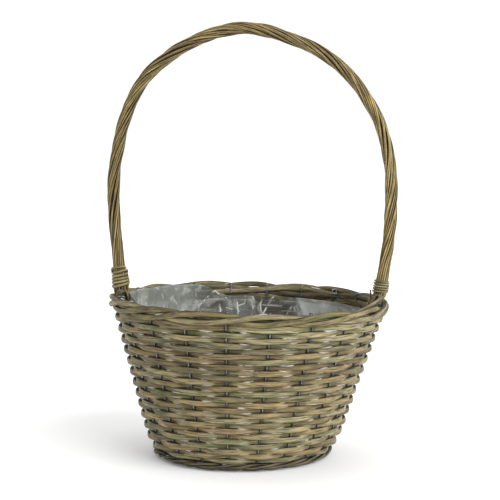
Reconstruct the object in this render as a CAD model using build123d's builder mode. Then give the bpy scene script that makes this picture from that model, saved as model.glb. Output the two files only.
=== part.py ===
from build123d import *
from math import cos, degrees, radians, sin, tan
import os

# Round flared basket of split willow woven on a frame of steel wire, with a fixed hoop handle and a film liner.
# Millimetres, +Z up. The origin is the middle of the base on the floor, and the handle's hoop lies over the X axis.

# Frame of uprights
upright_count = 20
upright_step = 360 / upright_count
first_upright = upright_step / 2
wire_d = 1.4
spoke_z = 5.5  # height of the spokes under the basket
toe_r = 90.5  # where a spoke turns up into the wall
knee_r = 101.8
brim_r = 141.6
brim_z = 157.0
hub_r = 18.0  # where the spokes gather into two crossed bundles
bundle_r = 8.0
bundle_pitch = 1.7
wires_per_bundle = 5
hub_bend = 4.0

# Woven wall
course_count = 25
course_pitch = 5.7
course_h = 5.5
wall_z = brim_z - course_count * course_pitch
knee_z = wall_z + 2 * course_pitch
upset_z = 9.9  # bottom of the course that grips the turn of the uprights
strand_t = 3.0
weave_gap = 0.2
weave_swing = (strand_t + wire_d) / 2 + weave_gap
strand_end_gap = 0.25  # degrees

# Border round the mouth
rim_top = 172.0
rim_lean = 7.0  # how far the mouth stands to the right of the base
rim_tip = 1.5  # degrees, the left side of the mouth is the higher
outer_rod_d = 4.7
outer_rod_r = 144.9
outer_rod_heights = (159.8, 164.7, 169.6)
inner_rod_d = 5.6
inner_rod_r = 137.9
inner_rod_heights = (160.2, 166.0)
hook_r = 134.3
hook_top = 169.7
hook_end = 158.5

# Woven base
base_rod_d = 4.0
hub_rod_d = 3.2  # thinner rods for the rounds that bend hardest
hub_round_count = 3
base_round_count = 12
first_round_r = 22.0
round_pitch = 5.3
round_swing = 3.1
tight_swing = 3.4  # swing of the rounds near the hub, which pass the wires at a steeper slope
round_bend = 5.0
round_end_gap = 0.8  # half of the gap between the two ends of a round
foot_ring_d = 4.6
foot_ring_r = 88.2
foot_ring_z = 2.0
wale_r = 93.7
wale_z = 5.6

# Handle
handle_rod_d = 3.5
handle_rod_count = 8
handle_ring_r = 4.75
handle_core_d = 5.6
core_gap = 1.5
rod_foot_height = 159.0
rod_bend_height = 173.0
inside_foot_r = 133.0
foot_spacing = 4.7
foot_bend = 2.0
stub_gap = 0.5  # between the border and the rods that end on it
# Corners of the hoop's line, from the left foot to the right one
hoop_corners = (
    (-130.6, 179.0), (-138.4, 258.0), (-138.4, 311.0), (-118.9, 389.0), (-79.6, 430.5), (-22.1, 457.5),
    (25.3, 457.5), (93.8, 430.1), (137.2, 381.6), (159.8, 321.0), (159.8, 247.5), (147.7, 172.0),
)
bend_share = 0.47  # part of the shorter run that a corner's arc takes

# Skein binding over each foot of the handle
skein_t = 1.3
skein_turns = 6
left_skein_w = 3.3
right_skein_w = 2.3
binding_gap = 0.1
binding_lift = 1.6  # how far above the splay of the rods the first turn lies

# Film liner
film_t = 0.3
liner_gap = 1.0
liner_floor_z = 11.6
liner_floor_r = 84.0
liner_bend_z = 145.0  # above this the bag draws in to stand inside the hooks
liner_lip_r = 130.6
liner_lip_z = 157.0
liner_top_z = 166.0


def level(height):
    """Cross-section plane of the basket at a height: the axis leans to the right and the mouth tips."""
    share = height / rim_top
    tip = radians(rim_tip * share)
    return Plane(
        origin=(rim_lean * share, 0, height), x_dir=(cos(tip), 0, -sin(tip)), z_dir=(sin(tip), 0, cos(tip))
    )


def polar(radius, angle, height=0.0):
    """Point at a radius and an angle in degrees."""
    return Vector(radius * cos(radians(angle)), radius * sin(radians(angle)), height)


def around(height, radius, angle):
    """Point on the basket's own cross-section at a height."""
    return level(height).from_local_coords(polar(radius, angle))


def wall_radius(height):
    """Radius of the uprights: a straight flare above the knee and a wider one below it."""
    if height < knee_z:
        return toe_r + (knee_r - toe_r) * (height - spoke_z) / (knee_z - spoke_z)
    return knee_r + (brim_r - knee_r) * (height - knee_z) / (brim_z - knee_z)


def wave(radius, turn):
    """Line that passes in front of one upright and behind the next, open at its two ends."""
    points = []
    for i in range(upright_count):
        angle = first_upright + i * upright_step
        swing = weave_swing if (i + turn) % 2 else -weave_swing
        points += [polar(radius, angle - upright_step / 2), polar(radius + swing, angle)]
    points[0] = polar(radius, strand_end_gap)
    points.append(polar(radius, 360 - strand_end_gap))
    arcs = [ThreePointArc(*points[i : i + 3]) for i in range(0, 2 * upright_count, 2)]
    return arcs[0] @ 0, arcs[-1] @ 1


def woven_course(bottom, top, turn):
    """One split rod woven round the wall, lofted to the wall's flare."""
    with BuildPart() as course:
        for height in (bottom, top):
            with BuildSketch(level(height)):
                with BuildLine():
                    outer = wave(wall_radius(height) + strand_t / 2, turn)
                    inner = wave(wall_radius(height) - strand_t / 2, turn)
                    Line(outer[0], inner[0])
                    Line(outer[1], inner[1])
                make_face()
        loft(ruled=True)
    return course.part


def ring(diameter, radius, height):
    """Round rod bent into a ring on the basket's cross-section."""
    with BuildPart() as rod:
        with Locations(level(height)):
            Torus(radius, diameter / 2)
    return rod.part


def swept_rod(points, radii, diameter):
    """Round rod along straight runs joined by tangent arcs."""
    with BuildPart() as rod:
        with BuildLine() as path:
            FilletPolyline(*points, radius=radii)
        with BuildSketch(Plane(origin=path.line @ 0, z_dir=path.line % 0)):
            Circle(diameter / 2)
        sweep()
    return rod.part


def save(part, name):
    """Label a finished piece and write its file."""
    part.label = name
    export_step(part, f"parts/{name}.step")


os.makedirs("parts", exist_ok=True)

# ---------------------------------------------------------------------------------------------------------
# Frame wires: each wire is two uprights and the spoke between them, hooked over the border at both ends
# ---------------------------------------------------------------------------------------------------------


def upright(angle):
    """Points and bend radii of one upright, from the hook's tip down to its toe."""
    points = [
        around(hook_end, hook_r, angle),
        around(hook_top, hook_r, angle),
        around(hook_top, brim_r, angle),
        around(brim_z, brim_r, angle),
        around(knee_z, knee_r, angle),
        around(spoke_z, toe_r, angle),
    ]
    return points, [1.5, 1.5, 6.0, 12.0, 8.0]


def frame_wire(place, bundle_angle, rise):
    """One wire: an upright, its spoke through the hub, and the upright across from it."""
    right_angle = bundle_angle + place * upright_step
    left_angle = bundle_angle + 180 - place * upright_step
    right_points, right_radii = upright(right_angle)
    left_points, left_radii = upright(left_angle)
    hub_points, hub_radii = [], []
    if place or rise:
        along = polar(bundle_r, bundle_angle, spoke_z + rise)
        across = polar(place * bundle_pitch, bundle_angle + 90)
        back = polar(-bundle_r, bundle_angle, spoke_z + rise)
        hub_points = [
            polar(hub_r, right_angle, spoke_z),
            along + across,
            back + across,
            polar(hub_r, left_angle, spoke_z),
        ]
        hub_radii = [hub_bend] * len(hub_points)
    points = right_points + hub_points + left_points[::-1]
    return swept_rod(points, right_radii + hub_radii + left_radii[::-1], wire_d)


bundle_places = range(-(wires_per_bundle // 2), wires_per_bundle // 2 + 1)
with BuildPart() as frame_wires_lower:
    for place in bundle_places:
        add(frame_wire(place, first_upright, 0.0))
with BuildPart() as frame_wires_upper:
    for place in bundle_places:
        add(frame_wire(place, first_upright + 90, wire_d + 0.1))
save(frame_wires_lower.part, "frame_wires_lower")
save(frame_wires_upper.part, "frame_wires_upper")

# ---------------------------------------------------------------------------------------------------------
# Base: rounds woven over and under the spokes, the ring it stands on, and the rod outside the turn
# ---------------------------------------------------------------------------------------------------------


def round_side(index, spoke):
    """+1 where a base round passes over a spoke and -1 where it passes under."""
    if index < hub_round_count:
        group = (spoke + 2) // wires_per_bundle
    elif index < 2 * hub_round_count:
        group = (spoke + index) // 2
    else:
        group = spoke + index
    return 1 if group % 2 else -1


def base_round(index):
    """One rod woven round the spokes: over whole bundles at the hub, over pairs, then over single spokes."""
    radius = first_round_r + index * round_pitch
    end_angle = degrees(round_end_gap / radius)
    points = [polar(radius, end_angle, spoke_z)]
    swing = tight_swing if index < 2 * hub_round_count else round_swing
    for spoke in range(upright_count):
        height = spoke_z + swing * round_side(index, spoke)
        points.append(polar(radius, first_upright + spoke * upright_step, height))
    points.append(polar(radius, 360 - end_angle, spoke_z))
    near_hub = index < hub_round_count
    return swept_rod(points, round_bend / 2 if near_hub else round_bend, hub_rod_d if near_hub else base_rod_d)


for index in range(base_round_count):
    save(base_round(index), f"base_round_{index + 1:02d}")

with BuildPart() as foot_ring:
    with BuildSketch(Plane.XZ):
        with Locations((foot_ring_r, foot_ring_z)):
            Circle(foot_ring_d / 2)
        with Locations((foot_ring_r, 0)):
            Rectangle(foot_ring_d, foot_ring_d * 2, align=(Align.CENTER, Align.MIN), mode=Mode.INTERSECT)
    revolve(axis=Axis.Z)
save(foot_ring.part, "foot_ring")
save(ring(foot_ring_d, wale_r, wale_z), "foot_wale")

# ---------------------------------------------------------------------------------------------------------
# Wall: the upset course that grips the turn of the uprights, then the courses of split rod
# ---------------------------------------------------------------------------------------------------------

save(woven_course(upset_z, wall_z - weave_gap, 1), "upset_course")
for index in range(course_count):
    bottom = wall_z + index * course_pitch
    save(woven_course(bottom, bottom + course_h, index), f"wall_course_{index + 1:02d}")

# ---------------------------------------------------------------------------------------------------------
# Border: rods outside and inside the line of the uprights
# ---------------------------------------------------------------------------------------------------------

for index, height in enumerate(outer_rod_heights):
    save(ring(outer_rod_d, outer_rod_r, height), f"border_outer_rod_{index + 1}")
for index, height in enumerate(inner_rod_heights):
    save(ring(inner_rod_d, inner_rod_r, height), f"border_inner_rod_{index + 1}")

# ---------------------------------------------------------------------------------------------------------
# Handle: a core with rods laid round it; half of them go down inside the border and the others end on it
# ---------------------------------------------------------------------------------------------------------

hoop = [Vector(x, 0, z) for x, z in hoop_corners]
runs = [(b - a) for a, b in zip(hoop, hoop[1:])]
turns = [a.get_angle(b) for a, b in zip(runs, runs[1:])]
hoop_radii = [
    bend_share * min(a.length, b.length) / tan(radians(turn / 2)) for a, b, turn in zip(runs, runs[1:], turns)
]
print("handle bend radii", [round(r) for r in hoop_radii])


def beside_hoop(outward, sideways):
    """Corners of a line that keeps a distance outside the hoop and to one side of it."""
    normals = [Vector(-run.Z, 0, run.X).normalized() for run in runs]
    ends = [hoop[0] + normals[0] * outward, hoop[-1] + normals[-1] * outward]
    middle = []
    for corner, a, b, turn in zip(hoop[1:-1], normals, normals[1:], turns):
        middle.append(corner + (a + b).normalized() * (outward / cos(radians(turn / 2))))
    return [point + Vector(0, sideways, 0) for point in [ends[0], *middle, ends[1]]]


def lowered(line, gap):
    """The line with its two ends brought down to a gap above the border."""
    left_drop = line[0].Z - around(rim_top, brim_r, 180).Z - gap
    right_drop = line[-1].Z - around(rim_top, brim_r, 0).Z - gap
    left_end = line[0] - runs[0].normalized() * left_drop
    right_end = line[-1] + runs[-1].normalized() * right_drop
    return [left_end, *line[1:-1], right_end]


def handle_rod(index):
    """One rod of the handle: from the hoop's inner half its feet go inside the border, else they end on it."""
    angle = (index + 0.5) * 360 / handle_rod_count
    outward = handle_ring_r * cos(radians(angle))
    sideways = handle_ring_r * sin(radians(angle))
    line = beside_hoop(outward, sideways)
    radii = [r + outward for r in hoop_radii]
    if outward > 0:
        return swept_rod(lowered(line, stub_gap), radii, handle_rod_d)
    rank = 0.5 if abs(sideways) < abs(outward) else 1.5
    foot_y = rank * foot_spacing * (1 if sideways > 0 else -1)
    left_foot, right_foot = (
        [around(h, inside_foot_r, angle) + Vector(0, foot_y, 0) for h in (rod_foot_height, rod_bend_height)]
        for angle in (180, 0)
    )
    bends = [foot_bend, foot_bend]
    return swept_rod(left_foot + line + right_foot[::-1], bends + radii + bends, handle_rod_d)


for index in range(handle_rod_count):
    save(handle_rod(index), f"handle_rod_{index + 1}")

save(swept_rod(lowered(beside_hoop(0, 0), core_gap), hoop_radii, handle_core_d), "handle_core")


def binding(start, along, skein_w):
    """Turns of skein round the foot of the handle, from a point on the hoop's line."""
    length = skein_w * skein_turns
    bore = handle_ring_r + handle_rod_d / 2 + binding_gap
    side = Vector(along.Z, 0, -along.X)
    with BuildPart() as wrap:
        with BuildSketch(Plane(origin=start, x_dir=side, z_dir=side.cross(along))):
            with Locations(*[(bore + skein_t / 2, skein_w * (turn + 0.5)) for turn in range(skein_turns)]):
                Circle(skein_w * 0.52)
            with Locations((bore, 0)):
                Rectangle(skein_t, length, align=(Align.MIN, Align.MIN), mode=Mode.INTERSECT)
        revolve(axis=Axis(start, along))
    return wrap.part


left_rise, right_rise = runs[0].normalized(), -runs[-1].normalized()
save(binding(hoop[0] + left_rise * binding_lift, left_rise, left_skein_w), "handle_binding_left")
save(binding(hoop[-1] + right_rise * binding_lift, right_rise, right_skein_w), "handle_binding_right")

# ---------------------------------------------------------------------------------------------------------
# Liner: a thin film bag that follows the inside of the wall and stands inside the hooks
# ---------------------------------------------------------------------------------------------------------

wall_inside = weave_swing + strand_t / 2 + liner_gap
bag = (
    (liner_floor_z, liner_floor_r),
    (knee_z, knee_r - wall_inside),
    (liner_bend_z, wall_radius(liner_bend_z) - wall_inside),
    (liner_lip_z, liner_lip_r),
    (liner_top_z, liner_lip_r),
)
with BuildPart() as liner:
    for height, radius in bag:
        with BuildSketch(level(height)):
            Circle(radius)
    loft(ruled=True)
    for height, radius in bag:
        with BuildSketch(level(height + film_t)):
            Circle(radius - film_t)
    loft(ruled=True, mode=Mode.SUBTRACT)
save(liner.part, "liner")
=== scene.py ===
"""Looks of a round willow basket with a wire frame, a hoop handle and a film liner."""

import logging
import math
from dataclasses import dataclass, field
from enum import Enum
from typing import Any

import bmesh
import bpy
import numpy as np
from mathutils import Matrix, Vector, noise

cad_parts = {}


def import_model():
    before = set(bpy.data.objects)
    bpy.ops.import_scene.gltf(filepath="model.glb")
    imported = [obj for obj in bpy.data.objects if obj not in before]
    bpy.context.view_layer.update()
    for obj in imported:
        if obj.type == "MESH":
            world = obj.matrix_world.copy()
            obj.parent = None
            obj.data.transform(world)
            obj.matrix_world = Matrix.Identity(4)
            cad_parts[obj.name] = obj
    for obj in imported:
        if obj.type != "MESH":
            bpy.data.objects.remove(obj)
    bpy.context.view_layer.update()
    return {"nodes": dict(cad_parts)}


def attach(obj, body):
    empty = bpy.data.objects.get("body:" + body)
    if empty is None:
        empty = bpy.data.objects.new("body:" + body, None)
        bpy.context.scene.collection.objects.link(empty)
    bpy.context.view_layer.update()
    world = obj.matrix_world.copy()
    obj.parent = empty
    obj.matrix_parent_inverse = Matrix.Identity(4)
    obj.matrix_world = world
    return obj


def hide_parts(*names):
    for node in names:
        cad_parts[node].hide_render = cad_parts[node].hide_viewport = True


LOG = logging.getLogger("basket")
BODY = "root"
FULL_TURN = 2 * math.pi

Colour = tuple[float, float, float]
Scale = tuple[float, float, float]


# ---- Shader graph ----


class Value:
    """A shader socket that takes part in arithmetic by adding Math nodes to its graph."""

    def __init__(self, graph: "Graph", socket: bpy.types.NodeSocket) -> None:
        """Wrap an output socket of a graph's node."""
        self.graph = graph
        self.socket = socket

    def __add__(self, other: Any) -> "Value":
        """Sum."""
        return self.graph.math("ADD", self, other)

    def __radd__(self, other: Any) -> "Value":
        """Sum with a number on the left."""
        return self.graph.math("ADD", other, self)

    def __sub__(self, other: Any) -> "Value":
        """Difference."""
        return self.graph.math("SUBTRACT", self, other)

    def __rsub__(self, other: Any) -> "Value":
        """Difference from a number on the left."""
        return self.graph.math("SUBTRACT", other, self)

    def __mul__(self, other: Any) -> "Value":
        """Product."""
        return self.graph.math("MULTIPLY", self, other)

    def __rmul__(self, other: Any) -> "Value":
        """Product with a number on the left."""
        return self.graph.math("MULTIPLY", other, self)

    def __abs__(self) -> "Value":
        """Size without its sign."""
        return self.graph.math("ABSOLUTE", self)

    def above(self, low: float, high: float) -> "Value":
        """Smooth step.

        Args:
            low: Where the step starts to rise.
            high: Where the step is full.

        Returns:
            0 below low, 1 above high.
        """
        settings = {"interpolation_type": "SMOOTHSTEP"}
        inputs = {"Value": self, "From Min": low, "From Max": high}
        return self.graph.value("ShaderNodeMapRange", settings, inputs)


class Graph:
    """The node tree of one material."""

    def __init__(self, name: str) -> None:
        """Start an empty material with a name."""
        self.material = bpy.data.materials.new(name)
        self.material.use_nodes = True
        self.tree = self.material.node_tree
        self.tree.nodes.clear()

    def node(self, kind: str, settings: dict[str, Any], inputs: dict[Any, Any]) -> bpy.types.Node:
        """Add a node.

        Args:
            kind: The node's type.
            settings: Its settings; the key stops holds a ramp's positions and colours.
            inputs: The values or links of its sockets.

        Returns:
            The node.
        """
        node = self.tree.nodes.new(kind)
        for key, setting in settings.items():
            if key == "stops":
                self._set_stops(node.color_ramp, setting)
            else:
                setattr(node, key, setting)
        for key, value in inputs.items():
            if isinstance(value, Value):
                self.tree.links.new(value.socket, node.inputs[key])
            else:
                node.inputs[key].default_value = value
        return node

    @staticmethod
    def _set_stops(ramp: bpy.types.ColorRamp, stops: list[tuple[float, Colour]]) -> None:
        """Give a ramp its stops.

        Args:
            ramp: The colour ramp.
            stops: Positions and linear colours in order.
        """
        while len(ramp.elements) < len(stops):
            ramp.elements.new(1.0)
        for element, (position, colour) in zip(ramp.elements, stops):
            element.position = position
            element.color = (*colour, 1.0)

    def value(self, kind: str, settings: dict[str, Any], inputs: dict[Any, Any], output: Any = 0) -> Value:
        """Add a node and take one of its outputs.

        Args:
            kind: The node's type.
            settings: Its settings.
            inputs: The values or links of its sockets.
            output: The output's name or number.

        Returns:
            The output.
        """
        return Value(self, self.node(kind, settings, inputs).outputs[output])

    def math(self, operation: str, *operands: Any) -> Value:
        """Result of a Math node for its operation and its operands in order."""
        return self.value("ShaderNodeMath", {"operation": operation}, dict(enumerate(operands)))

    def mix(self, share: Any, first: Any, second: Any, blend: str = "MIX") -> Value:
        """Mix two colours.

        Args:
            share: How much of the second shows.
            first: The first colour.
            second: The second colour.
            blend: The blend type.

        Returns:
            The mixed colour.
        """
        colours = [c if isinstance(c, Value) else (*c, 1.0) for c in (first, second)]
        inputs = {0: share, 6: colours[0], 7: colours[1]}
        return self.value("ShaderNodeMix", {"data_type": "RGBA", "blend_type": blend}, inputs, 2)

    def grey(self, value: Value) -> Value:
        """Colour whose three parts are all one value."""
        return self.value("ShaderNodeCombineColor", {}, {0: value, 1: value, 2: value})

    def stretched(self, vector: Value, scale: Scale) -> Value:
        """Vector scaled part by part."""
        return self.value("ShaderNodeVectorMath", {"operation": "MULTIPLY"}, {0: vector, 1: scale})

    def cloud(self, vector: Value, scale: Scale, detail: float = 3.0, roughness: float = 0.55) -> Value:
        """Noise of about 0.5.

        Args:
            vector: Where the noise is read.
            scale: How fine it is along each axis.
            detail: Number of finer layers.
            roughness: Strength of the finer layers.

        Returns:
            The noise.
        """
        place = self.stretched(vector, scale)
        inputs = {"Vector": place, "Scale": 1.0, "Detail": detail, "Roughness": roughness}
        return self.value("ShaderNodeTexNoise", {}, inputs, "Fac")

    def attribute(self, name: str) -> Value:
        """Vector attribute of the piece's own mesh."""
        return self.value("ShaderNodeAttribute", {"attribute_name": name}, {}, "Vector")

    def place(self) -> Value:
        """Place of each point in the basket's own frame."""
        return self.value("ShaderNodeTexCoord", {}, {}, "Object")

    def bump(self, height: Value, strength: float, distance: float) -> Value:
        """Normal of a surface whose relief is a height of 0 to 1 over a distance."""
        inputs = {"Strength": strength, "Distance": distance, "Height": height}
        return self.value("ShaderNodeBump", {}, inputs, "Normal")

    def parts(self, vector: Value) -> list[Value]:
        """The three parts of a vector."""
        return [Value(self, part) for part in self.node("ShaderNodeSeparateXYZ", {}, {0: vector}).outputs]

    def finish(self, surface: dict[str, Any]) -> bpy.types.Material:
        """Close the graph with a Principled shader.

        Args:
            surface: The values or links of the shader's sockets.

        Returns:
            The material.
        """
        shader = self.value("ShaderNodeBsdfPrincipled", {}, surface)
        self.node("ShaderNodeOutputMaterial", {}, {"Surface": shader})
        return self.material


@dataclass(frozen=True)
class WillowFinish:
    """Dry willow with fibres along each rod, rods of different tints, and pale pith along split edges.

    The mesh gives three vector attributes. Grain is the place in the straightened rod. Tint holds the rod's
    hue, its lightness, and how far the pith is bared. Shade masks hold how near a point is to the seams
    beside the neighbouring rods, and how deep it lies behind an upright; the finish paints shade by both.
    """

    name: str
    hues: tuple[Colour, Colour, Colour, Colour]
    pith: Colour = (0.6, 0.59, 0.57)
    # The dark colour below marks random stains, and is also painted as shade in the seams between rods and
    # behind the uprights.
    stain_and_shade: Colour = (0.016, 0.014, 0.01)
    stain_share: float = 0.6
    # Strength of the painted shade in the seams and behind the uprights, and the nearness to a seam over
    # which that painted shade rises.
    crevice_shade_share: float = 0.9
    seam_shade_reach: tuple[float, float] = (0.62, 0.88)
    lightness: tuple[float, float] = (0.7, 1.25)
    fibre_scale: Scale = (2200, 2200, 130)
    streak_scale: Scale = (700, 700, 55)
    patch_scale: Scale = (110, 110, 34)
    shift_scale: Scale = (260, 260, 75)
    sheen: float = 0.25
    roughness: float = 0.55
    relief: float = 0.0007

    def build(self) -> bpy.types.Material:
        """Make the material.

        Returns:
            The finished material.
        """
        graph = Graph(self.name)
        grain = graph.attribute("grain")
        hue, lightness, bared = graph.parts(graph.attribute("tint"))
        seam, recess, _ = graph.parts(graph.attribute("shade_masks"))
        fibres = graph.cloud(grain, self.fibre_scale, 2.0)
        streaks = graph.cloud(grain, self.streak_scale, 3.0, 0.6)
        patches = graph.cloud(grain, self.patch_scale, 3.0)
        shift = graph.cloud(grain, self.shift_scale, 2.0)
        place = hue * 0.7 + (patches - 0.5) * 1.3 + 0.15
        stops = [(step / 3, colour) for step, colour in enumerate(self.hues)]
        base = graph.value("ShaderNodeValToRGB", {"stops": stops}, {0: place})
        low, high = self.lightness
        mottle = graph.math("MAXIMUM", (streaks - 0.5) * 3.0 + 1.0, 0.25) * ((patches - 0.5) * 0.9 + 1.0)
        gain = (lightness * (high - low) + low) * mottle * (fibres + 0.5)
        base = graph.mix(1.0, base, graph.grey(gain), "MULTIPLY")
        dark = (1 - streaks).above(0.52, 0.66) * patches.above(0.4, 0.6) * self.stain_share
        base = graph.mix(dark, base, self.stain_and_shade)
        # Painted shade: the colour darkens towards the seams between neighbouring rods, where shade falls.
        seam_shade = (seam + (shift - 0.5) * 0.3).above(*self.seam_shade_reach) * self.crevice_shade_share
        base = graph.mix(seam_shade, base, self.stain_and_shade)
        # Painted shade: the colour darkens where a strand lies behind an upright.
        base = graph.mix(recess * self.crevice_shade_share, base, self.stain_and_shade)
        ragged = bared + (shift - 0.5) * 0.45 + (fibres - 0.5) * 0.35
        pale = ragged.above(0.42, 0.52)
        base = graph.mix(pale * 0.92, base, self.pith)
        height = streaks * 0.6 + fibres * 0.4 + pale * 0.15
        bump = graph.bump(height, 0.9, self.relief)
        rough = (fibres - 0.5) * 0.3 + self.roughness + pale * 0.15
        surface = {"Base Color": base, "Roughness": rough, "Normal": bump, "Specular IOR Level": self.sheen}
        return graph.finish(surface)


@dataclass(frozen=True)
class GalvanisedFinish:
    """Drawn steel wire with a dull zinc coat."""

    name: str = "galvanised_wire"
    dull: Colour = (0.08, 0.086, 0.09)
    bright: Colour = (0.36, 0.385, 0.395)
    spangle_scale: Scale = (420, 420, 160)
    grime_scale: Scale = (60, 60, 60)
    metallic: float = 0.7

    def build(self) -> bpy.types.Material:
        """Make the material.

        Returns:
            The finished material.
        """
        graph = Graph(self.name)
        spangle = graph.cloud(graph.place(), self.spangle_scale, 3.0)
        grime = graph.cloud(graph.place(), self.grime_scale, 2.0)
        base = graph.mix(spangle.above(0.3, 0.7), self.dull, self.bright)
        base = graph.mix(grime.above(0.5, 0.75) * 0.5, base, self.dull)
        surface = {"Base Color": base, "Metallic": self.metallic, "Roughness": spangle * 0.2 + 0.3}
        return graph.finish({**surface, "Normal": graph.bump(spangle, 0.4, 0.0002)})


@dataclass(frozen=True)
class FilmFinish:
    """Crinkled clear film, milkier towards its sides and in patches, with painted highlights along its
    creases and its right side painted paler as painted light.
    """

    name: str = "clear_film"
    shade: Colour = (0.1, 0.108, 0.1)
    milk: Colour = (0.4, 0.42, 0.38)
    # Colour of the painted highlights along the creases.
    crease_highlight: Colour = (0.72, 0.73, 0.7)
    clear_alpha: float = 0.34
    milky_alpha: float = 0.8
    crease_highlight_alpha: float = 0.85
    middle_x: float = 0.008
    middle_reach: tuple[float, float] = (0.03, 0.085)
    # How far the milk on the right side is painted towards the highlight colour, as painted light.
    right_painted_light_share: float = 0.6
    drape_scale: Scale = (24, 24, 11)
    fold_scale: Scale = (44, 44, 30)
    wrinkle_scale: Scale = (95, 95, 70)
    fine_scale: Scale = (120, 120, 90)
    relief: float = 0.004
    roughness: float = 0.2
    refraction: float = 1.5

    def build(self) -> bpy.types.Material:
        """Make the material.

        Returns:
            The finished material.
        """
        graph = Graph(self.name)
        place = graph.place()
        drape = graph.cloud(place, self.drape_scale, 1.0)
        folds = self.facets(graph, place, self.fold_scale)
        wrinkles = self.facets(graph, place, self.wrinkle_scale)
        fine = graph.cloud(place, self.fine_scale, 2.0, 0.5)
        across = graph.parts(place)[0] - self.middle_x + (drape - 0.5) * 0.09
        aside = abs(across).above(*self.middle_reach)
        milky = drape.above(0.46, 0.62) * 0.4 + aside * 0.6
        # Painted highlights: thin bright lines along folds and wrinkles, and broad ones along the drape,
        # nearly opaque in the highlight colour.
        long = (1 - folds.above(0.01, 0.05)) * fine.above(0.42, 0.6)
        short = (1 - wrinkles.above(0.01, 0.07)) * fine.above(0.5, 0.62) * drape.above(0.44, 0.56)
        thin = graph.math("MAXIMUM", long, short) * (1 - aside * 0.45)
        broad = (1 - abs(drape - 0.5) * 24.0).above(0.2, 1.0) * fine.above(0.42, 0.6) * 0.6
        crease_highlight = graph.math("MAXIMUM", thin, broad)
        # Painted light: the milk on the right side is painted paler, to make up for the shade the lamps
        # leave there.
        milk = graph.mix(across.above(*self.middle_reach) * self.right_painted_light_share, self.milk, self.crease_highlight)
        base = graph.mix(milky, self.shade, milk)
        base = graph.mix(crease_highlight, base, self.crease_highlight)
        veil = milky * (self.milky_alpha - self.clear_alpha) + self.clear_alpha
        alpha = graph.math("MAXIMUM", veil, crease_highlight * self.crease_highlight_alpha)
        height = (folds * 0.8 + wrinkles * 0.3) * (1 - aside * 0.55) + fine * 0.12
        surface = {"Base Color": base, "Alpha": alpha, "Roughness": self.roughness, "IOR": self.refraction}
        return graph.finish({**surface, "Normal": graph.bump(height, 0.9, self.relief)})

    @staticmethod
    def facets(graph: Graph, place: Value, scale: Scale) -> Value:
        """Distance from the nearest fold of a crumpled sheet, whose facets are smaller at a higher scale."""
        inputs = {"Vector": graph.stretched(place, scale), "Scale": 1.0}
        return graph.value("ShaderNodeTexVoronoi", {"feature": "DISTANCE_TO_EDGE"}, inputs, "Distance")


OLIVE = (0.138, 0.142, 0.06)
TAN = (0.245, 0.212, 0.115)
OCHRE = (0.2, 0.155, 0.07)
ROSE = (0.2, 0.145, 0.08)

SPLIT_WILLOW = WillowFinish("split_willow", (OLIVE, TAN, OCHRE, ROSE))
BORDER_WILLOW = WillowFinish(
    "border_willow",
    (OLIVE, OCHRE, TAN, ROSE),
    seam_shade_reach=(0.6, 1.0),
    lightness=(0.55, 1.1),
)
HANDLE_WILLOW = WillowFinish(
    "handle_willow",
    ((0.125, 0.088, 0.033), (0.21, 0.152, 0.057), (0.29, 0.222, 0.095), (0.18, 0.108, 0.042)),
    seam_shade_reach=(0.5, 0.95),
    roughness=0.45,
)
BASE_WILLOW = WillowFinish("base_willow", (OLIVE, TAN, OCHRE, ROSE), lightness=(0.6, 0.95))
DARK_WILLOW = WillowFinish(
    "dark_willow",
    ((0.07, 0.062, 0.034), (0.12, 0.105, 0.058), (0.17, 0.145, 0.085), (0.1, 0.072, 0.04)),
    pith=(0.45, 0.44, 0.4),
    seam_shade_reach=(0.3, 0.85),
    crevice_shade_share=1.0,
)
SKEIN = WillowFinish(
    "willow_skein",
    (OLIVE, (0.24, 0.205, 0.1), (0.27, 0.22, 0.1), OCHRE),
    seam_shade_reach=(0.55, 1.0),
    lightness=(0.75, 1.05),
    roughness=0.45,
)


# ---- Form of the basket and meshes of rods ----


@dataclass(frozen=True)
class BasketForm:
    """The basket's own cross-section at every height, in metres, with its mouth leaning right and tipped."""

    upright_count: int = 20
    rim_top: float = 0.172
    rim_lean: float = 0.007
    rim_tip: float = math.radians(1.5)
    spoke_z: float = 0.0055
    toe_r: float = 0.0905
    knee_z: float = 0.0259
    knee_r: float = 0.1018
    brim_z: float = 0.157
    brim_r: float = 0.1416

    @property
    def step(self) -> float:
        """Angle from one upright to the next."""
        return FULL_TURN / self.upright_count

    @property
    def first(self) -> float:
        """Angle of the first upright."""
        return self.step / 2

    def around(self, height: Any, radius: Any, angle: Any) -> np.ndarray:
        """Points on the leaning cross-section.

        Args:
            height: Height of the cross-section at the axis.
            radius: Radius on it.
            angle: Angle in radians, 0 on the right and rising towards the back.

        Returns:
            One row of three coordinates for each angle.
        """
        height, radius, angle = np.broadcast_arrays(height, radius, angle)
        share = height / self.rim_top
        tip = self.rim_tip * share
        across = radius * np.cos(angle)
        x = self.rim_lean * share + across * np.cos(tip)
        return np.stack([x, radius * np.sin(angle), height - across * np.sin(tip)], axis=-1)

    def outward(self, height: Any, angle: Any) -> np.ndarray:
        """Direction away from the axis on the leaning cross-section at a height."""
        return self.around(height, 1.0, angle) - self.around(height, 0.0, angle)

    def wall_radius(self, height: Any) -> Any:
        """Radius of the uprights at a height."""
        heights = (self.spoke_z, self.knee_z, self.brim_z)
        return np.interp(height, heights, (self.toe_r, self.knee_r, self.brim_r))


def wander(rng: np.random.Generator, along: np.ndarray, reach: float) -> np.ndarray:
    """Smooth random wander along a rod.

    Args:
        rng: The source of chance.
        along: Distance along the rod.
        reach: Length of the longest wave.

    Returns:
        Values between about -1 and 1.
    """
    waves = ((1.0, 0.5), (0.57, 0.3), (0.31, 0.2))
    turn = along * FULL_TURN / reach
    return sum(weight * np.sin(turn / length + rng.uniform(0, FULL_TURN)) for length, weight in waves)


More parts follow.
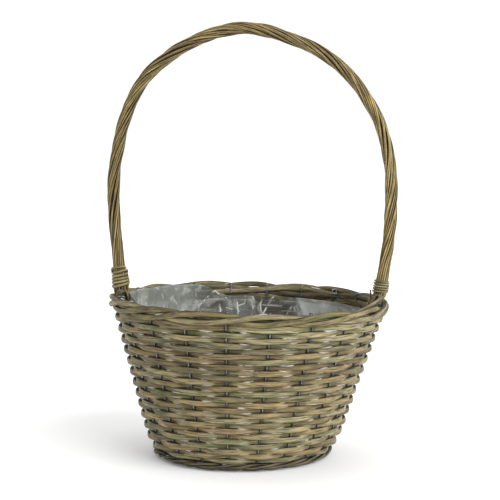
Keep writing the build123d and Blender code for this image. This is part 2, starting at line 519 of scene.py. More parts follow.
def smooth(value: Any, low: float, high: float) -> Any:
    """Smooth step from 0 at low to 1 at high."""
    share = np.clip((value - low) / (high - low), 0, 1)
    return share * share * (3 - 2 * share)


def flowing(corners: list[np.ndarray], step: float) -> np.ndarray:
    """Smooth line that is drawn towards each corner of a polygon and touches the middle of each of its runs.

    Args:
        corners: The polygon's corners.
        step: Spacing of the line's points.

    Returns:
        Points along the line.
    """
    middles = [(a + b) / 2 for a, b in zip(corners, corners[1:])]
    share = np.linspace(0, 1, 12, endpoint=False)[:, None]
    pieces = [corners[0][None], middles[0][None]]
    for start, corner, end in zip(middles, corners[1:-1], middles[1:]):
        pieces.append(start * (1 - share) ** 2 + 2 * corner * share * (1 - share) + end * share**2)
    pieces += [middles[-1][None], corners[-1][None]]
    return respaced(np.concatenate(pieces), step)


def lengths(line: np.ndarray) -> np.ndarray:
    """Distance of each point of a line from its start."""
    return np.concatenate([[0.0], np.cumsum(np.linalg.norm(np.diff(line, axis=0), axis=1))])


def to_ends(along: np.ndarray) -> np.ndarray:
    """Distance of each place along a line from the nearer of its two ends."""
    return np.minimum(along, along[-1] - along)


def level_ring(radius: Any, angle: np.ndarray, height: Any) -> np.ndarray:
    """Points round an upright axis through the origin."""
    return np.stack([radius * np.cos(angle), radius * np.sin(angle), height + 0 * angle], axis=-1)


def respaced(line: np.ndarray, step: float) -> np.ndarray:
    """The same line with evenly spaced points.

    Args:
        line: The points.
        step: The spacing wanted.

    Returns:
        Evenly spaced points.
    """
    along = lengths(line)
    places = np.linspace(0, along[-1], max(3, round(along[-1] / step)))
    return np.stack([np.interp(places, along, line[:, k]) for k in range(3)], axis=1)


def unit(vectors: np.ndarray) -> np.ndarray:
    """Vectors of length 1."""
    return vectors / np.maximum(np.linalg.norm(vectors, axis=-1, keepdims=True), 1e-12)


class RodMesh:
    """Mesh of one piece, made of rods and split strips laid along lines."""

    def __init__(self, seed: int) -> None:
        """Start an empty mesh whose chances all come from one seed."""
        self.rng = np.random.default_rng(seed)
        self.bm = bmesh.new()
        self.grain = self.bm.verts.layers.float_vector.new("grain")
        self.tint = self.bm.verts.layers.float_vector.new("tint")
        # Marks for painted shade: nearness to the seams beside neighbouring rods, and depth behind an
        # upright.
        self.shade_masks = self.bm.verts.layers.float_vector.new("shade_masks")

    def lay(
        self,
        line: np.ndarray,
        outward: np.ndarray,
        thick: Any,
        high: Any,
        sides: int,
        squareness: float = 2.0,
        twist: Any = 0.0,
        pale: tuple[Any, Any] = (0.0, 0.0),
        recess: Any = 0.0,
        lightness: Any = None,
    ) -> None:
        """Lay a rod: a grid is rolled up round the line and its two ends are closed.

        Args:
            line: The rod's middle line.
            outward: Direction of the section's thickness at each point.
            thick: Half thickness at each point.
            high: Half height at each point.
            sides: Faces round the section.
            squareness: 2 for a round section, more for one with flatter sides.
            twist: Angle by which the section is turned about the line.
            pale: How far the pith is bared along the upper and the lower edge.
            recess: How deep each point of the line lies behind the rest of the wall, up to 1; the finish
                paints shade there.
            lightness: The rod's lightness in its finish's range; chance decides if it is left out.
        """
        count = len(line)
        thick, high, twist, upper, lower, recess = (
            np.broadcast_to(np.asarray(v, float), count)[None] for v in (thick, high, twist, *pale, recess)
        )
        tangent = unit(np.gradient(line, axis=0))
        outward = unit(outward - (outward * tangent).sum(1, keepdims=True) * tangent)
        upward = np.cross(outward, tangent)
        turn = np.linspace(0, FULL_TURN, sides + 1)[:, None]
        power = 2 / squareness
        x = thick * np.sign(np.cos(turn)) * np.abs(np.cos(turn)) ** power
        y = high * np.sign(np.sin(turn)) * np.abs(np.sin(turn)) ** power
        out = x * np.cos(twist) - y * np.sin(twist)
        up = x * np.sin(twist) + y * np.cos(twist)
        spots = line + out[..., None] * outward + up[..., None] * upward
        edge = np.sin(turn)
        bared = np.maximum(upper * np.clip(edge, 0, 1) ** 2, lower * np.clip(-edge, 0, 1) ** 2)
        along = lengths(line) + self.rng.uniform(0, 50)
        hue = self.rng.uniform()
        lightness = self.rng.uniform() if lightness is None else lightness
        grid = bmesh.ops.create_grid(self.bm, x_segments=count - 1, y_segments=sides, size=0.5)["verts"]
        columns = (x, y, along, bared, np.abs(edge), recess, lightness)
        flat = (np.broadcast_to(column, x.shape).ravel().tolist() for column in columns)
        values = zip(grid, spots.reshape(-1, 3).tolist(), *flat)
        for vertex, spot, across, above, distance, bare, seam, depth, light in values:
            vertex.co = spot
            vertex[self.grain] = (across, above, distance)
            vertex[self.tint] = (hue, light, bare)
            # Nearness to a seam and depth behind an upright, which the finish turns into painted shade.
            vertex[self.shade_masks] = (seam, depth, 0.0)
        bmesh.ops.remove_doubles(self.bm, verts=grid, dist=1e-7)
        rolled = [vertex for vertex in grid if vertex.is_valid]
        rims = {edge for vertex in rolled for edge in vertex.link_edges if edge.is_boundary}
        bmesh.ops.holes_fill(self.bm, edges=list(rims), sides=0)

    def finish(self, node: str, slot: str, material: bpy.types.Material) -> None:
        """Turn the mesh into the piece that stands for a CAD node."""
        place_piece(self.bm, node, slot, material)


def place_piece(
    bm: bmesh.types.BMesh, node: str, slot: str, material: bpy.types.Material
) -> bpy.types.Object:
    """Put a mesh in the scene as the piece that stands for a CAD node.

    Args:
        bm: The piece's mesh, which is freed.
        node: The CAD node.
        slot: A material slot's name, whose last word is the stuff and ends the piece's name.
        material: Its finish.

    Returns:
        The piece.
    """
    name = f"{node}_{slot.split('_')[-1]}"
    mesh = bpy.data.meshes.new(name)
    bm.to_mesh(mesh)
    bm.free()
    mesh.shade_smooth()
    mesh.materials.append(material)
    piece = bpy.data.objects.new(name, mesh)
    bpy.context.scene.collection.objects.link(piece)
    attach(piece, BODY)
    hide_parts(node)
    LOG.info("%s: %d faces", name, len(mesh.polygons))
    return piece


# ---- Woven wall ----


class TipCut(Enum):
    """How a weaver's end is cut."""

    TUCKED = "tucked"
    BLUNT = "blunt"
    OBLIQUE = "oblique"
    POINTED = "pointed"


@dataclass
class WovenWall:
    """Courses of split willow that pass in front of one upright and behind the next."""

    form: BasketForm
    material: bpy.types.Material
    course_count: int = 25
    pitch: float = 0.0057
    height: float = 0.0055
    bottom: float = 0.0145
    thickness: float = 0.0035
    swing: float = 0.0024
    inner_swing: float = 0.0031
    crown: float = 0.0018
    upset_middle: float = 0.0121
    upset_height: float = 0.0044
    tip_length: float = 0.010
    tuck: float = 0.22  # part of a step by which a strand runs on behind the uprights at its ends
    stations: int = 20  # points of a strand's line in one step
    press: tuple[float, float] = (1.08, 1.14)  # height of a strand in heights of its course
    front_press: float = 0.12  # how much taller it is where it passes an upright
    most_pith: tuple[float, float] = (1.25, 0.85)  # bared along its upper and its lower edge
    shade_behind: float = 0.85

    def build(self) -> None:
        """Weave the upset course and all the courses above it."""
        self.course("upset_course", 1, self.upset_middle, self.upset_height, 900)
        for index in range(self.course_count):
            middle = self.bottom + index * self.pitch + self.height / 2
            crown = self.crown if index == self.course_count - 1 else 0.0
            name = f"wall_course_{index + 1:02d}"
            self.course(name, index, middle + crown / 2, self.height + crown, 100 + index)

    def course(self, name: str, turn: int, middle: float, height: float, seed: int) -> None:
        """Weave one course from several strands laid end to end.

        Args:
            name: The CAD node it stands for.
            turn: Number of the course, which says at which uprights it passes outside.
            middle: Height of its middle line.
            height: Height of its strands.
            seed: Seed of its strands.
        """
        mesh = RodMesh(seed)
        rng = mesh.rng
        spans = list(rng.permutation([4, 6, 4, 6]))
        upright = int(rng.integers(0, 10)) * 2 + turn % 2
        for span in spans:
            self.strand(mesh, turn, middle, height, upright, upright + int(span), self.pick_cut(rng))
            upright += int(span)
        mesh.finish(name, "split_willow", self.material)

    @staticmethod
    def pick_cut(rng: np.random.Generator) -> TipCut:
        """Chosen cut of a strand's end; most ends are tucked away."""
        return list(TipCut)[int(rng.choice(4, p=(0.62, 0.12, 0.16, 0.10)))]

    def strand(
        self, mesh: RodMesh, turn: int, middle: float, height: float, first: int, last: int, cut: TipCut
    ) -> None:
        """Weave one strand between two uprights that it passes behind.

        Args:
            mesh: The course's mesh.
            turn: Number of the course.
            middle: Height of its middle line.
            height: Height of its strands.
            first: Number of the upright behind which it starts.
            last: Number of the upright behind which it ends.
            cut: How its far end is cut.
        """
        form, rng = self.form, mesh.rng
        overrun = self.tuck if cut is TipCut.TUCKED else rng.uniform(0.55, 0.85)
        start = form.first + (first - self.tuck) * form.step
        end = form.first + (last + overrun) * form.step
        angle = np.linspace(start, end, round((end - start) / form.step * self.stations))
        radius = float(form.wall_radius(middle))
        along = (angle - start) * radius
        to_end = along[-1] - along
        out = -np.cos((angle - form.first) / form.step * math.pi) * (1 if turn % 2 == 0 else -1)
        near_start, near_end = (1 - smooth(to_tip, 0, self.tip_length) for to_tip in (along, to_end))
        press = rng.uniform(*self.press) + 0.06 * wander(rng, along, 0.12) + self.front_press * np.abs(out)
        tall = height / 2 * press
        thick = self.thickness / 2 * (1.0 + 0.06 * wander(rng, along, 0.11))
        thick = thick * (1 - 0.55 * near_start - 0.5 * near_end)
        rise = 0.00045 * wander(rng, along, 0.13)
        side = 1 if rng.uniform() < 0.5 else -1
        if cut is TipCut.OBLIQUE:
            slope = 1 - smooth(to_end, 0, 0.006)
            tall, rise = tall * (1 - 0.7 * slope), rise + side * 0.7 * slope * height / 2
        elif cut is TipCut.POINTED:
            slope = 1 - smooth(to_end, -0.004, 0.02)
            tall, rise = tall * (1 - 0.95 * slope), rise + side * 0.5 * slope * height / 2
        swing = np.where(out > 0, self.swing, self.inner_swing) * out - 0.0006 * near_start
        swing = swing + 0.0003 * wander(rng, along, 0.06)
        if cut is not TipCut.TUCKED:
            swing = swing + 0.0009 * near_end
        level = middle + rise
        line = form.around(level, form.wall_radius(level) + swing, angle)
        turned_in = 1 - smooth(out, 0.1, 0.97)
        twist = 0.16 * wander(rng, along, 0.1)
        pale = tuple(most * self.strips(rng, along) * turned_in for most in self.most_pith)
        recess = self.shade_behind * smooth(-out, 0.97, 1.0)
        mesh.lay(line, form.outward(level, angle), thick, tall, 18, 2.6, twist, pale, recess)

    @staticmethod
    def strips(rng: np.random.Generator, along: np.ndarray) -> np.ndarray:
        """Strips along an edge of a strand: 1 where its pith is bared and 0 where its bark is left."""
        return smooth(wander(rng, along, 0.055), -0.45, 0.15)


# ---- Border ----


@dataclass(frozen=True)
class Winding:
    """A set of rods that wind round each other along the border."""

    name: str
    seed: int
    count: int
    radius: float
    middle: float
    winds: int
    rise: float
    sway: float
    half: tuple[float, float]
    foot_shift: float


@dataclass
class Border:
    """Rods that wind round each other outside the uprights, and two more inside them."""

    form: BasketForm
    material: bpy.types.Material
    outer: Winding = Winding(
        name="border_outer_rod",
        seed=300,
        count=3,
        radius=0.1455,
        middle=0.1641,
        winds=5,
        rise=0.0043,
        sway=0.0017,
        half=(0.0026, 0.0031),
        foot_shift=0.0011,
    )
    inner: Winding = Winding(
        name="border_inner_rod",
        seed=320,
        count=2,
        radius=0.1377,
        middle=0.1630,
        winds=4,
        rise=0.0032,
        sway=0.0012,
        half=(0.0026, 0.0032),
        foot_shift=-0.0011,
    )
    overlap: float = 0.16
    foot_angle: float = 0.13
    tipped_rod: str = "border_inner_rod_2"
    turned_half: float = 0.0025
    cut_half: float = 0.0013
    # Degrees, radius and height of the corners of two tips beside the right foot of the handle
    turned_tip: tuple[tuple[float, float, float], ...] = (
        (-42.0, 0.1415, 0.1655),
        (-28.0, 0.1418, 0.1705),
        (-16.0, 0.1425, 0.1745),
        (-8.5, 0.1425, 0.1765),
        (-6.0, 0.1370, 0.1765),
        (-8.0, 0.1325, 0.1720),
        (-11.0, 0.1322, 0.1600),
    )
    cut_tip: tuple[tuple[float, float, float], ...] = (
        (-6.5, 0.1325, 0.1560),
        (-6.2, 0.1322, 0.1680),
        (-6.0, 0.1300, 0.1830),
    )

    def build(self) -> None:
        """Lay every rod of the border."""
        for winding in (self.outer, self.inner):
            for index in range(winding.count):
                self.rod(winding, index)

    def rod(self, winding: Winding, index: int) -> None:
        """Lay one rod once round the mouth, its thin tip over its butt.

        Args:
            winding: The set it belongs to.
            index: Its number in the set.
        """
        name = f"{winding.name}_{index + 1}"
        mesh = RodMesh(winding.seed + index)
        rng = mesh.rng
        start = rng.uniform(0, FULL_TURN)
        angle = np.arange(start, start + FULL_TURN + self.overlap, 0.0028 / winding.radius)
        along = (angle - start) * winding.radius
        phase = FULL_TURN * index / winding.count
        wind = angle * winding.winds + phase + 0.5 * wander(rng, along, 0.35)
        height = winding.middle + winding.rise * np.sin(wind) + 0.0006 * wander(rng, along, 0.12)
        reach = winding.radius + winding.sway * np.cos(wind) + 0.0004 * wander(rng, along, 0.09)
        reach = reach + winding.foot_shift * np.exp(-((np.sin(angle) / self.foot_angle) ** 2))
        ends = smooth(to_ends(along), 0.0, 0.06)
        path = self.form.around(height, reach - 0.002 * (1 - ends), angle)
        swell = (0.45 + 0.55 * ends) * (1 + 0.06 * wander(rng, along, 0.08))
        thick, tall = (half * swell for half in winding.half)
        upper = 0.6 * smooth(wander(rng, along, 0.09), 0.3, 0.8)
        lower = 0.5 * smooth(wander(rng, along, 0.09), 0.35, 0.8)
        twist = 0.3 * wander(rng, along, 0.2)
        mesh.lay(path, self.form.outward(height, angle), thick, tall, 14, 2.2, twist, (upper, lower))
        if name == self.tipped_rod:
            self.tip(mesh, self.turned_tip, self.turned_half)
            self.tip(mesh, self.cut_tip, self.cut_half)
        mesh.finish(name, "border_willow", self.material)

    def tip(self, mesh: RodMesh, corners: tuple[tuple[float, float, float], ...], half: float) -> None:
        """Lay the end of a rod that is turned down or cut off beside the handle.

        Args:
            mesh: The mesh of its rod.
            corners: Degrees, radius and height of the corners of its line.
            half: Half thickness of the rod.
        """
        line = flowing([self.form.around(z, r, math.radians(degrees)) for degrees, r, z in corners], 0.0015)
        along = lengths(line)
        ends = smooth(to_ends(along), -0.002, 0.02)
        upward = np.array((0.0, 0.0, 1.0)) + 0 * line
        thick = half * (0.65 + 0.35 * ends)
        mesh.lay(line, upward, thick, thick, 10, 2.1, 0.0, (0.3, 0.3), lightness=0.35)


# ---- Base ----


@dataclass
class Base:
    """Rounds woven over and under the spokes, and the dark twisted rods round the basket's foot."""

    form: BasketForm
    round_material: bpy.types.Material
    foot_material: bpy.types.Material
    round_count: int = 12
    hub_round_count: int = 3
    bundle_size: int = 5
    first_r: float = 0.022
    pitch: float = 0.0053
    half: float = 0.0020
    hub_half: float = 0.0016
    swing: float = 0.0031
    tight_swing: float = 0.0034
    foot_half: float = 0.0018
    foot_winds: int = 8
    foot_rods: int = 3

    def build(self) -> None:
        """Weave the rounds and lay the twisted rods round the foot."""
        for index in range(self.round_count):
            self.round(index)
        self.twisted_ring("foot_ring", radius=0.0878, height=0.0034, gap=0.0017, seed=410)
        self.twisted_ring("foot_wale", radius=0.0935, height=0.0062, gap=0.0019, seed=420)

    def side(self, index: int, spoke: int) -> int:
        """Say on which side of a spoke a round passes.

        Args:
            index: Number of the round.
            spoke: Number of the spoke.

        Returns:
            1 over the spoke and -1 under it.
        """
        if index < self.hub_round_count:
            group = (spoke + 2) // self.bundle_size
        elif index < 2 * self.hub_round_count:
            group = (spoke + index) // 2
        else:
            group = spoke + index
        return 1 if group % 2 else -1

    def round(self, index: int) -> None:
        """Weave one round of the base.

        Args:
            index: Number of the round, from the hub outwards.
        """
        mesh = RodMesh(200 + index)
        rng, form = mesh.rng, self.form
        radius = self.first_r + index * self.pitch
        tight = index < 2 * self.hub_round_count
        half = self.hub_half if index < self.hub_round_count else self.half
        swing = self.tight_swing if tight else self.swing
        knots = np.arange(-1, form.upright_count + 2)
        heights = np.array([self.side(index, int(k) % form.upright_count) for k in knots], float)
        angle = np.linspace(0.012, FULL_TURN - 0.012, 240)
        place = (angle - form.first) / form.step + 1
        low = np.clip(np.floor(place).astype(int), 0, len(knots) - 2)
        share = (1 - np.cos((place - low) * math.pi)) / 2
        wave = heights[low] * (1 - share) + heights[low + 1] * share
        along = angle * radius
        height = form.spoke_z + swing * wave
        reach = radius + 0.00025 * wander(rng, along, 0.08)
        swell = half * (1 + 0.05 * wander(rng, along, 0.05))
        line, outward = level_ring(reach, angle, height), level_ring(1.0, angle, 0.0)
        mesh.lay(line, outward, swell, swell, 10, 2.2, 0.0, (0.5, 0.3))
        mesh.finish(f"base_round_{index + 1:02d}", "base_willow", self.round_material)

    def twisted_ring(self, node: str, radius: float, height: float, gap: float, seed: int) -> None:
        """Lay a rope of thin dark rods round the foot.

        Args:
            node: The CAD node it stands for.
            radius: Radius of the rope's middle line.
            height: Height of the rope's middle line.
            gap: Distance of each rod from the rope's middle line.
            seed: Seed of the rope.
        """
        mesh = RodMesh(seed)
        rng = mesh.rng
        for index in range(self.foot_rods):
            start = rng.uniform(0, FULL_TURN)
            angle = np.arange(start, start + FULL_TURN + 0.1, 0.0022 / radius)
            along = (angle - start) * radius
            phase = FULL_TURN * index / self.foot_rods
            wind = angle * self.foot_winds + phase + 0.35 * wander(rng, along, 0.1)
            level = height + gap * np.sin(wind) + 0.0005 * wander(rng, along, 0.05)
            reach = radius + gap * np.cos(wind) + 0.0009 * wander(rng, along, 0.09)
            ends = smooth(to_ends(along), 0.0, 0.02)
            half = self.foot_half * (0.4 + 0.6 * ends) * (1 + 0.1 * wander(rng, along, 0.03))
            level = np.maximum(level, half * 1.04)
            line, outward = level_ring(reach, angle, level), level_ring(1.0, angle, 0.0)
            pale = (0.7 * smooth(wander(rng, along, 0.04), 0.2, 0.8), 0.4)
            mesh.lay(line, outward, half, half, 9, 2.2, 0.5 * wander(rng, along, 0.06), pale)
        mesh.finish(node, "dark_willow", self.foot_material)


# ---- Handle ----


@dataclass(frozen=True)
class Foot:
    """One foot of the handle: the flare of its rods and the skein wrapped round them."""

    node: str
    seed: int
    flare: float
    turns: int
    pitch: float
    half_wide: float
    crossing: float = 0.0  # 1 where the first and the last turn cross the others
    lightness: float | None = None


@dataclass
class Handle:
    """Thin rods twisted in pairs round a core along the hoop, with a skein binding over each foot."""

    form: BasketForm
    rod_material: bpy.types.Material
    skein_material: bpy.types.Material
    corners: tuple[tuple[float, float], ...] = (
        (-0.1306, 0.179),
        (-0.1384, 0.258),
        (-0.1384, 0.311),
        (-0.1189, 0.389),
        (-0.0796, 0.4305),
        (-0.0221, 0.4575),
        (0.0253, 0.4575),
        (0.0938, 0.4301),
        (0.1372, 0.3816),
        (0.1598, 0.321),
        (0.1598, 0.2475),
        (0.1477, 0.172),
    )
    rod_count: int = 8
    rod_half: float = 0.00106
    ring_r: float = 0.0053
    core_half: float = 0.0035
    lay_length: float = 0.18
    loose_length: float = 0.05
    left: Foot = Foot("handle_binding_left", 540, 0.0022, 6, 0.0033, 0.001365, crossing=1.0)
    # Painted light: the right binding is painted paler than the rods' usual range, as if lit from the right.
    right: Foot = Foot("handle_binding_right", 550, 0.0008, 5, 0.0028, 0.00104, lightness=1.3)
    flare_length: float = 0.03
    inside_foot_r: float = 0.133
    slot_foot_r: float = 0.1418
    foot_spacing: float = 0.0047
    foot_height: float = 0.159
    bend_height: float = 0.173
    slot_depth: float = 0.0085
    skein_half: float = 0.0007
    binding_lift: float = 0.0012
    step: float = 0.0026
    hoop: np.ndarray = field(init=False)
    outward: np.ndarray = field(init=False)
    along: np.ndarray = field(init=False)

    def __post_init__(self) -> None:
        """Draw the hoop's line."""
        self.hoop = flowing([np.array((x, 0.0, z)) for x, z in self.corners], self.step)
        tangent = unit(np.gradient(self.hoop, axis=0))
        self.outward = np.stack([-tangent[:, 2], 0 * tangent[:, 0], tangent[:, 0]], axis=-1)
        self.along = lengths(self.hoop)

    def build(self) -> None:
        """Lay the core, the rods and the two bindings."""
        core = RodMesh(500)
        core.lay(self.hoop, self.outward, self.core_half, self.core_half, 10)
        core.finish("handle_core", "handle_willow", self.rod_material)
        for index in range(self.rod_count):
            self.pair(index)
        self.binding(self.left, self.hoop)
        self.binding(self.right, self.hoop[::-1])

    def turning(self) -> np.ndarray:
        """Angle through which the rods have wound at each station, in whole places of the ring.

        Returns:
            Angle at each station, 0 at the left foot.
        """
        rate = 0.12 + 0.88 * smooth(to_ends(self.along), 0.015, 0.015 + self.loose_length)
        angle = np.concatenate([[0.0], np.cumsum((rate[1:] + rate[:-1]) / 2 * np.diff(self.along))])
        place = FULL_TURN / self.rod_count
        total = round(angle[-1] / self.lay_length * FULL_TURN / place) * place
        return angle / angle[-1] * total

    def foot(self, angle: float, ring_angle: float, stray: float) -> list[np.ndarray]:
        """Place a pair's foot: inside the border, or down the slot between its outer and inner rods.

        Args:
            angle: Where on the border the foot stands.
            ring_angle: The pair's place in the ring, 0 on the outside of the hoop.
            stray: How far the foot wanders from its place.

        Returns:
            The foot's tip and the point where it passes the top of the border.
        """
        outward, sideways = math.cos(ring_angle), -math.sin(ring_angle)
        rank = 0.5 if abs(sideways) < abs(outward) else 1.5
        aside = np.array((0.0, rank * self.foot_spacing * math.copysign(1, sideways), 0.0))
        if outward < 0:
            low, high = self.inside_foot_r - 2 * stray, self.inside_foot_r - stray
            heights = (self.foot_height, self.bend_height)
        else:
            low, high = self.slot_foot_r, self.slot_foot_r + stray
            heights = (self.form.rim_top - self.slot_depth, self.form.rim_top + 0.001)
        return [self.form.around(h, r, angle) + aside for h, r in zip(heights, (low, high))]

    def ring_radius(self, stray: np.ndarray) -> np.ndarray:
        """Radius of the ring of rods, which flares under the bindings.

        Args:
            stray: How far a rod wanders from the ring at each station.

        Returns:
            Radius at each station.
        """
        left = self.left.flare * (1 - smooth(self.along, 0.0, self.flare_length))
        right = self.right.flare * (1 - smooth(self.along[-1] - self.along, 0.0, self.flare_length))
        return self.ring_r * (1 + self.free() * (0.01 + 0.1 * stray)) + left + right

    def free(self) -> np.ndarray:
        """How free the rods are to wander at each station, from 0 under a binding to 1."""
        return smooth(to_ends(self.along), 0.016, 0.05)

    def pair(self, index: int) -> None:
        """Lay two thin rods side by side, in one place of the ring.

        Args:
            index: Number of the place.
        """
        mesh = RodMesh(510 + index)
        for aside in (-0.25, 0.25):
            self.thin_rod(mesh, index + 0.5, aside)
        mesh.finish(f"handle_rod_{index + 1}", "handle_willow", self.rod_material)

    def thin_rod(self, mesh: RodMesh, place: float, aside: float) -> None:
        """Lay one thin rod of the handle.

        Args:
            mesh: The mesh of its pair.
            place: The pair's place in the ring.
            aside: The rod's distance from the middle of the pair, in places.
        """
        rng = mesh.rng
        one = FULL_TURN / self.rod_count
        turning = self.turning()
        turned = (place + aside) * one + turning + self.free() * (0.22 * wander(rng, self.along, 0.17))
        ring = self.ring_radius(wander(rng, self.along, 0.12) + rng.uniform(-0.6, 0.8))
        sideways = np.array((0.0, -1.0, 0.0))
        spoke = np.cos(turned)[:, None] * self.outward + np.sin(turned)[:, None] * sideways
        line = self.hoop + ring[:, None] * spoke
        shift = np.array((0.0, -2 * aside * self.rod_half * 1.9, 0.0))
        left = self.foot(math.pi, place * one, rng.uniform(-0.001, 0.0035))
        right = self.foot(0.0, float(place * one + turning[-1]), rng.uniform(-0.001, 0.0035))
        feet = [[point + shift for point in foot] for foot in (left, right[::-1])]
        path = flowing([*feet[0], *line[::3], line[-1], *feet[1]], self.step)
        share = np.linspace(0, 1, len(path)), np.linspace(0, 1, len(self.hoop))
        centre = np.stack([np.interp(*share, self.hoop[:, k]) for k in range(3)], axis=1)
        along = lengths(path)
        tip = smooth(to_ends(along), 0, 0.014)
        half = self.rod_half * rng.uniform(0.88, 1.14) * (0.6 + 0.4 * tip)
        half = half * (1 + 0.1 * wander(rng, along, 0.16))
        bare = 0.35 * smooth(wander(rng, along, 0.08), 0.3, 0.8)
        # Painted light: on top of its own random lightness, each rod is painted paler towards the right
        # foot, as if lit from the right.
        paler = rng.uniform(0, 0.8) + 0.9 * smooth(along / along[-1], 0.45, 0.9)
        mesh.lay(path, path - centre + 1e-5, half, half, 8, 2.0, 0.0, (bare, 0.7 * bare), lightness=paler)

    def binding(self, foot: Foot, hoop: np.ndarray) -> None:
        """Wrap a skein round one foot of the handle.

        Args:
            foot: The foot.
            hoop: The hoop's line from that foot on.
        """
        mesh = RodMesh(foot.seed)
        rng = mesh.rng
        rise = unit(hoop[6] - hoop[0])
        back = np.array((0.0, 1.0, 0.0))
        side = np.cross(back, rise)
        turn = np.arange(0, foot.turns * FULL_TURN, 0.16)
        first = foot.crossing * (1 - smooth(turn, FULL_TURN * 0.6, FULL_TURN * 1.4))
        last = foot.crossing * smooth(turn, FULL_TURN * (foot.turns - 1.6), FULL_TURN * (foot.turns - 0.9))
        level = 0.5 + turn / FULL_TURN - last * 0.9 * np.sin(turn) + first * 0.3 * np.sin(turn + 1.0)
        lift = self.binding_lift + foot.pitch * level + 0.00022 * wander(rng, turn, 7.0)
        bore = self.ring_r + self.rod_half + self.skein_half
        bore = bore + foot.flare * (1 - smooth(lift, 0.0, self.flare_length))
        ends = smooth(to_ends(turn), 0, 0.8)
        reach = bore + 0.0002 * wander(rng, turn, 4.0) + 0.0003 + 0.0008 * last - 0.0012 * (1 - ends)
        outward = np.cos(turn)[:, None] * side + np.sin(turn)[:, None] * back
        line = hoop[0] + lift[:, None] * rise + reach[:, None] * outward
        wide = foot.half_wide * (0.6 + 0.4 * ends)
        mesh.lay(line, outward, self.skein_half, wide, 10, 2.6, lightness=foot.lightness)
        mesh.finish(foot.node, "willow_skein", self.skein_material)


# ---- Liner ----


@dataclass
class Liner:
    """Thin film bag that lines the wall and stands up higher at the back left."""

    form: BasketForm
    material: bpy.types.Material
    floor_z: float = 0.0118
    floor_r: float = 0.0835
    wall_gap: float = 0.0050
    bend_z: float = 0.105
    lip_z: float = 0.153
    lip_r: float = 0.1302
    low_edge: float = 0.1565
    high_edge: float = 0.1705
    rise_arc: tuple[float, float] = (100, 118)  # degrees over which the free edge rises to the high part
    fall_arc: tuple[float, float] = (196, 225)
    film: float = 0.0003
    columns: int = 420
    rows: int = 60
    floor_share: float = 0.15  # part of the rows that lies on the floor
    cut: float = 0.47

    def edge_height(self, angle: float) -> float:
        """Height of the film's free edge.

        Args:
            angle: Angle round the basket.

        Returns:
            Height of the edge.
        """
        degrees = math.degrees(angle) % 360
        up = float(smooth(degrees, *self.rise_arc) * (1 - smooth(degrees, *self.fall_arc)))
        ripple = noise.noise(Vector((math.cos(angle) * 5, math.sin(angle) * 5, 3.0)))
        return self.low_edge + (self.high_edge - self.low_edge) * up + 0.0016 * ripple

    def profile(self, share: float, angle: float) -> tuple[float, float]:
        """Height and radius of the bag.

        Args:
            share: 0 in the middle of the floor and 1 at the free edge.
            angle: Angle round the basket.

        Returns:
            Height and radius.
        """
        knee_r = self.form.knee_r - self.wall_gap
        bend_r = float(self.form.wall_radius(self.bend_z)) - self.wall_gap
        edge = self.edge_height(angle)
        stops = (0.0, self.floor_share, 0.2, 0.4, 0.85, 1.0)
        heights = (self.floor_z, self.floor_z, self.form.knee_z, self.bend_z, self.lip_z, edge)
        radii = (0.002, self.floor_r, knee_r, bend_r, self.lip_r, self.lip_r - 0.0004)
        return float(np.interp(share, stops, heights)), float(np.interp(share, stops, radii))

    def crumple(self, height: float, angle: float) -> float:
        """Depth of the film's creases at a point.

        Args:
            height: Height of the point.
            angle: Angle round the basket.

        Returns:
            Distance inwards.
        """
        place = Vector((math.cos(angle) * 7, math.sin(angle) * 7, height * 40))
        drape = noise.noise(place * 0.42 + Vector((9, 2, 5)))
        ridge = 1 - abs(noise.noise(place)) * 2
        fine = 1 - abs(noise.noise(place * 2.2 + Vector((4, 1, 8)))) * 2
        return 0.0022 * drape + 0.0016 * ridge**2 + 0.0004 * fine + 0.0012

    def build(self) -> None:
        """Blow up the bag inside the basket."""
        bag = bmesh.new()
        grid = bmesh.ops.create_grid(bag, x_segments=self.columns, y_segments=self.rows, size=0.5)
        grid = grid["verts"]
        for vertex in grid:
            angle, share = -(vertex.co.x + 0.5) * FULL_TURN, vertex.co.y + 0.5
            height, radius = self.profile(share, angle)
            depth = self.crumple(height, angle) * min(1.0, share * 3)
            on_floor = share < self.floor_share
            height, radius = (height + depth, radius) if on_floor else (height, radius - depth)
            vertex.co = self.form.around(height, radius, angle)
        bmesh.ops.remove_doubles(bag, verts=grid, dist=1e-6)
        hub = [e for e in bag.edges if e.is_boundary and e.verts[0].co.to_2d().length < 0.02]
        bmesh.ops.holes_fill(bag, edges=hub, sides=0)
        bmesh.ops.recalc_face_normals(bag, faces=bag.faces)
        piece = place_piece(bag, "liner", "clear_film", self.material)
        skin = piece.modifiers.new("film", "SOLIDIFY")
        skin.thickness = self.film
        disc = math.pi * self.cut**2 / 4


# ---- Studio ----


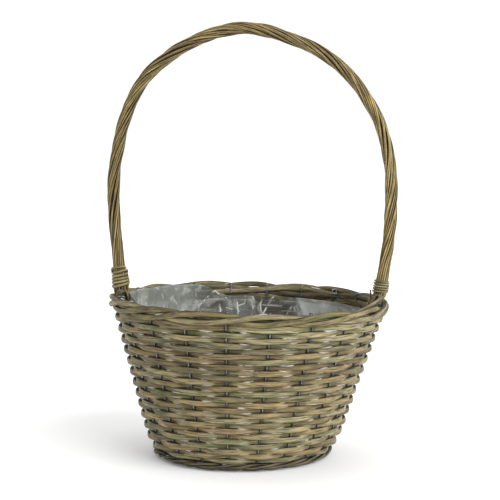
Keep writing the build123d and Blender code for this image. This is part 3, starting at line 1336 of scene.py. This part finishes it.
@dataclass
class Studio:
    """Pale floor, glowing backdrop, soft lights and the camera."""

    centre_x: float = 0.008
    distance: float = 1.6
    eye_height: float = 0.361
    pitch: float = math.radians(5.0)
    lens: float = 107.5

    def build(self) -> None:
        """Set the stage."""
        pale = {"Base Color": (0.9, 0.9, 0.9, 1), "Roughness": 0.9}
        white, upright = (1, 1, 1, 1), Matrix.Rotation(math.pi / 2, 4, "X")
        self.sheet("floor", 30.0, {**pale, "Emission Color": white, "Emission Strength": 0.12}, Matrix())
        self.world()
        glow = {"Base Color": (0, 0, 0, 1), "Emission Color": white, "Emission Strength": 1.0}
        self.sheet("backdrop", 4.0, glow, Matrix.Translation((0, 5.0, 2.0)) @ upright)
        self.light("key", (1.4, -1.5, 1.4), math.radians(50), 2.4)
        self.light("right", (2.0, -0.5, 0.9), math.radians(60), 0.65)
        self.light("top", (-0.3, 0.3, 2.0), math.radians(60), 0.9)
        bpy.context.scene.view_settings.view_transform = "Standard"
        camera = bpy.data.objects.new("camera", bpy.data.cameras.new("camera"))
        camera.data.lens = self.lens
        camera.location = (self.centre_x, -self.distance, self.eye_height)
        camera.rotation_euler = (math.pi / 2 - self.pitch, 0, 0)
        bpy.context.scene.collection.objects.link(camera)
        bpy.context.scene.camera = camera

    @staticmethod
    def sheet(name: str, half: float, surface: dict[str, Any], place: Matrix) -> None:
        """Set out a flat square sheet of the stage.

        Args:
            name: The sheet's name.
            half: Half the length of its sides.
            surface: The values of its shader's sockets.
            place: How it is turned and moved from the middle of the floor.
        """
        square = bmesh.new()
        bmesh.ops.create_grid(square, x_segments=1, y_segments=1, size=half, matrix=place)
        mesh = bpy.data.meshes.new(name)
        square.to_mesh(mesh)
        square.free()
        mesh.materials.append(Graph(name).finish(surface))
        stage = bpy.data.objects.new(name, mesh)
        bpy.context.scene.collection.objects.link(stage)

    def world(self) -> None:
        """Surround the scene with even white light."""
        world = bpy.data.worlds.new("studio")
        world.use_nodes = True
        background = world.node_tree.nodes["Background"]
        background.inputs["Color"].default_value = (1, 1, 1, 1)
        background.inputs["Strength"].default_value = 0.5
        bpy.context.scene.world = world

    def light(self, name: str, place: tuple[float, float, float], spread: float, strength: float) -> None:
        """Shine even light on the whole stage from one side.

        Args:
            name: The light's name.
            place: Where it comes from.
            spread: Angle over which it is spread, which softens its shadows.
            strength: Its strength.
        """
        lamp = bpy.data.lights.new(name, "SUN")
        lamp.angle, lamp.energy = spread, strength
        holder = bpy.data.objects.new(name, lamp)
        holder.location = place
        aim = Vector((0, 0, 0.15)) - Vector(place)
        holder.rotation_euler = aim.to_track_quat("-Z", "Y").to_euler()
        bpy.context.scene.collection.objects.link(holder)


def main() -> None:
    """Build the basket's pieces in order, then the studio."""
    logging.basicConfig(level=logging.INFO, format="%(message)s")
    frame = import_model()
    form = BasketForm()
    wire = GalvanisedFinish().build()
    for name in ("frame_wires_lower", "frame_wires_upper"):
        node = frame["nodes"][name]
        node.data.materials.clear()
        node.data.materials.append(wire)
    WovenWall(form, SPLIT_WILLOW.build()).build()
    Border(form, BORDER_WILLOW.build()).build()
    Base(form, BASE_WILLOW.build(), DARK_WILLOW.build()).build()
    Handle(form, HANDLE_WILLOW.build(), SKEIN.build()).build()
    Liner(form, FilmFinish().build()).build()
    Studio().build()


if __name__ == "__main__":
    main()
